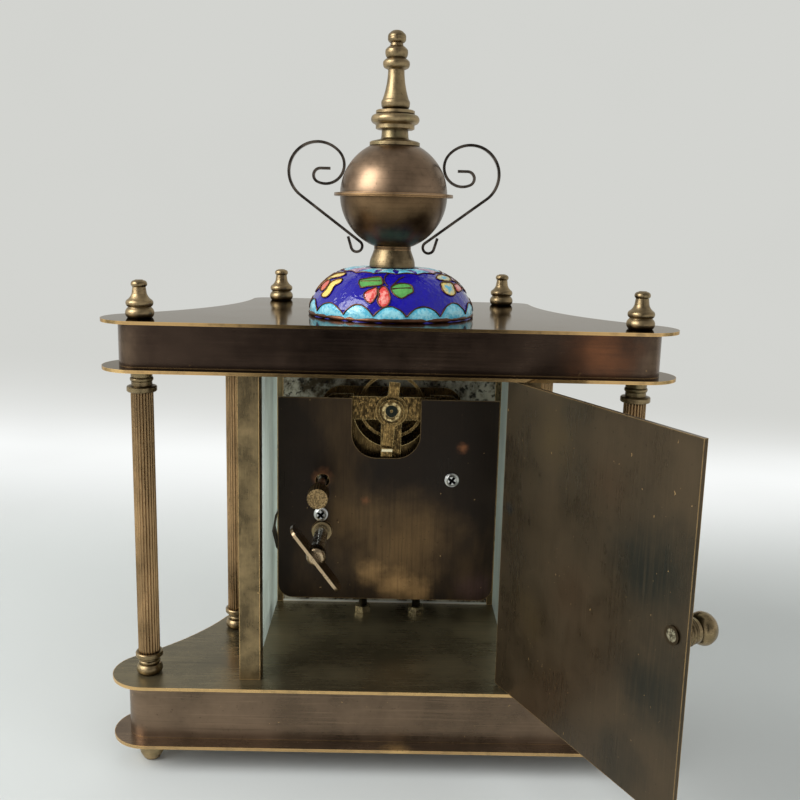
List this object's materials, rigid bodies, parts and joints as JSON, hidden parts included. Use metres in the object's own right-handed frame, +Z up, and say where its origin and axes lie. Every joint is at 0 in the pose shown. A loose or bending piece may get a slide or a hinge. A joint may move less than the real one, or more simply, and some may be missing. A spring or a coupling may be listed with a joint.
{
  "type": "mantel clock",
  "caption": "Columned brass mantel clock with glazed sides, hinged rear door, key-wound movement, enamelled dome and handled urn finial.",
  "frame": {"origin": "centre of the whole clock's plan box on the floor under its feet, the rear door standing open", "axes": "+Z up, the dial faces -Y, the door is on the +Y side, +X is right seen from the dial"},
  "size_m": [0.1728, 0.156, 0.231],
  "materials": {
    "patina_plate": "antiqued, glossy",
    "patina_skirt": "antiqued, brushed",
    "column_brass": "aged satin",
    "turned_brass": "aged polished",
    "post_brass": "aged mottled",
    "door_brass": "antiqued, brushed",
    "globe_bronze": "satin bronze",
    "spring_steel": "blued steel",
    "bright_steel": "plain steel",
    "movement_brass": "bright brass",
    "cover_brass": "antiqued, mottled",
    "pane_glass": "clear",
    "dial_enamel": "white enamel",
    "dome_enamel": "blue enamel over copper",
    "hand_black": "gloss black"
  },
  "bodies": {
    "case": {"feet": "turned_brass", "base_bottom_plate": "patina_plate", "base_skirt": "patina_skirt", "base_top_plate": "patina_plate", "column_bases": "column_brass", "column_shafts": "column_brass", "column_capitals": "column_brass", "canopy_bottom_plate": "patina_plate", "canopy_skirt": "patina_skirt", "canopy_top_plate": "patina_plate", "corner_finials": "turned_brass", "tie_rods": "bright_steel", "rear_posts": "post_brass", "front_posts": "post_brass", "left_glass": "pane_glass", "right_glass": "pane_glass", "front_panel": "post_brass", "dial": "dial_enamel", "bezel": "turned_brass", "crystal": "pane_glass", "dome": "dome_enamel", "pedestal": "turned_brass", "globe_lower": "globe_bronze", "globe_upper": "globe_bronze", "globe_neck": "turned_brass", "spire_collar": "turned_brass", "spire": "turned_brass", "scroll_handle_right": "spring_steel", "scroll_handle_left": "spring_steel", "centre_rod": "bright_steel", "rear_plate": "movement_brass", "front_plate": "movement_brass", "pillars": "movement_brass", "cover": "cover_brass", "cover_screws": "bright_steel", "mounting_nuts": "bright_steel", "balance_bridge": "movement_brass", "winding_bush": "turned_brass", "mainspring": "spring_steel"},
    "door": {"door_panel": "door_brass", "door_knob": "turned_brass"},
    "winding": {"winding_arbor": "bright_steel", "winding_key": "turned_brass"},
    "great": {"great_wheel": "movement_brass"},
    "click": {"click": "spring_steel"},
    "intermediate": {"intermediate_wheel": "movement_brass"},
    "centre": {"centre_wheel": "movement_brass"},
    "third": {"third_wheel": "movement_brass"},
    "escape": {"escape_wheel": "movement_brass"},
    "lever": {"pallet_lever": "spring_steel"},
    "balance": {"balance_wheel": "movement_brass", "hairspring": "spring_steel"},
    "regulator": {"regulator": "movement_brass"},
    "minute": {"minute_hand": "hand_black", "cannon_pinion": "movement_brass"},
    "hour": {"hour_hand": "hand_black", "hour_wheel": "movement_brass"},
    "minute_work": {"minute_wheel": "movement_brass"},
    "setting": {"setting_arbor": "bright_steel", "setting_knob": "turned_brass"}
  },
  "joints": [
    {"name": "door_hinge", "type": "hinge", "parent": "case", "child": "door", "pos_m": [-0.03694, 0.00755, 0.07915], "axis": [0, 0, 1], "range_deg": [-115.9, 54]},
    {"name": "winding_turn", "type": "hinge", "parent": "case", "child": "winding", "pos_m": [0.0224, -0.03703, 0.067], "axis": [0, 1, 0], "continuous": true},
    {"name": "great_turn", "type": "hinge", "parent": "case", "child": "great", "pos_m": [0.0224, -0.04622, 0.067], "axis": [0, 1, 0], "continuous": true},
    {"name": "click_swing", "type": "hinge", "parent": "great", "child": "click", "pos_m": [0.029, -0.04732, 0.0682], "axis": [0, 1, 0], "range_deg": [0, 12]},
    {"name": "intermediate_turn", "type": "hinge", "parent": "case", "child": "intermediate", "pos_m": [0.00483, -0.04622, 0.06601], "axis": [0, 1, 0], "continuous": true},
    {"name": "centre_turn", "type": "hinge", "parent": "case", "child": "centre", "pos_m": [0, -0.05032, 0.07915], "axis": [0, 1, 0], "continuous": true},
    {"name": "third_turn", "type": "hinge", "parent": "case", "child": "third", "pos_m": [-0.01108, -0.04303, 0.08704], "axis": [0, 1, 0], "continuous": true},
    {"name": "escape_turn", "type": "hinge", "parent": "case", "child": "escape", "pos_m": [-0.0009, -0.04723, 0.0932], "axis": [0, 1, 0], "continuous": true},
    {"name": "lever_swing", "type": "hinge", "parent": "case", "child": "lever", "pos_m": [-0.0009, -0.04723, 0.101], "axis": [0, 1, 0], "range_deg": [-5, 5]},
    {"name": "balance_swing", "type": "hinge", "parent": "case", "child": "balance", "pos_m": [-0.0009, -0.04383, 0.1093], "axis": [0, 1, 0], "range_deg": [-135, 135], "stiffness_Nm_per_rad": 0.00006},
    {"name": "regulator_swing", "type": "hinge", "parent": "case", "child": "regulator", "pos_m": [-0.0009, -0.03703, 0.1093], "axis": [0, 1, 0], "range_deg": [-15, 25]},
    {"name": "minute_turn", "type": "hinge", "parent": "case", "child": "minute", "pos_m": [0, -0.06123, 0.07915], "axis": [0, 1, 0], "continuous": true},
    {"name": "hour_turn", "type": "hinge", "parent": "case", "child": "hour", "pos_m": [0, -0.05983, 0.07915], "axis": [0, 1, 0], "continuous": true},
    {"name": "minute_work_turn", "type": "hinge", "parent": "case", "child": "minute_work", "pos_m": [0.01093, -0.05393, 0.08411], "axis": [0, 1, 0], "continuous": true},
    {"name": "setting_turn", "type": "hinge", "parent": "case", "child": "setting", "pos_m": [0.0224, -0.01003, 0.0849], "axis": [0, 1, 0], "continuous": true}
  ],
  "couplings": [
    {"joint": "intermediate_turn", "follows": "centre_turn", "ratio": -0.16667},
    {"joint": "great_turn", "follows": "centre_turn", "ratio": 0.02381},
    {"joint": "third_turn", "follows": "centre_turn", "ratio": -7.5},
    {"joint": "escape_turn", "follows": "centre_turn", "ratio": 56.25},
    {"joint": "minute_work_turn", "follows": "minute_turn", "ratio": -0.33333},
    {"joint": "hour_turn", "follows": "minute_turn", "ratio": 0.083333},
    {"joint": "setting_turn", "follows": "minute_turn", "ratio": 1.2}
  ]
}
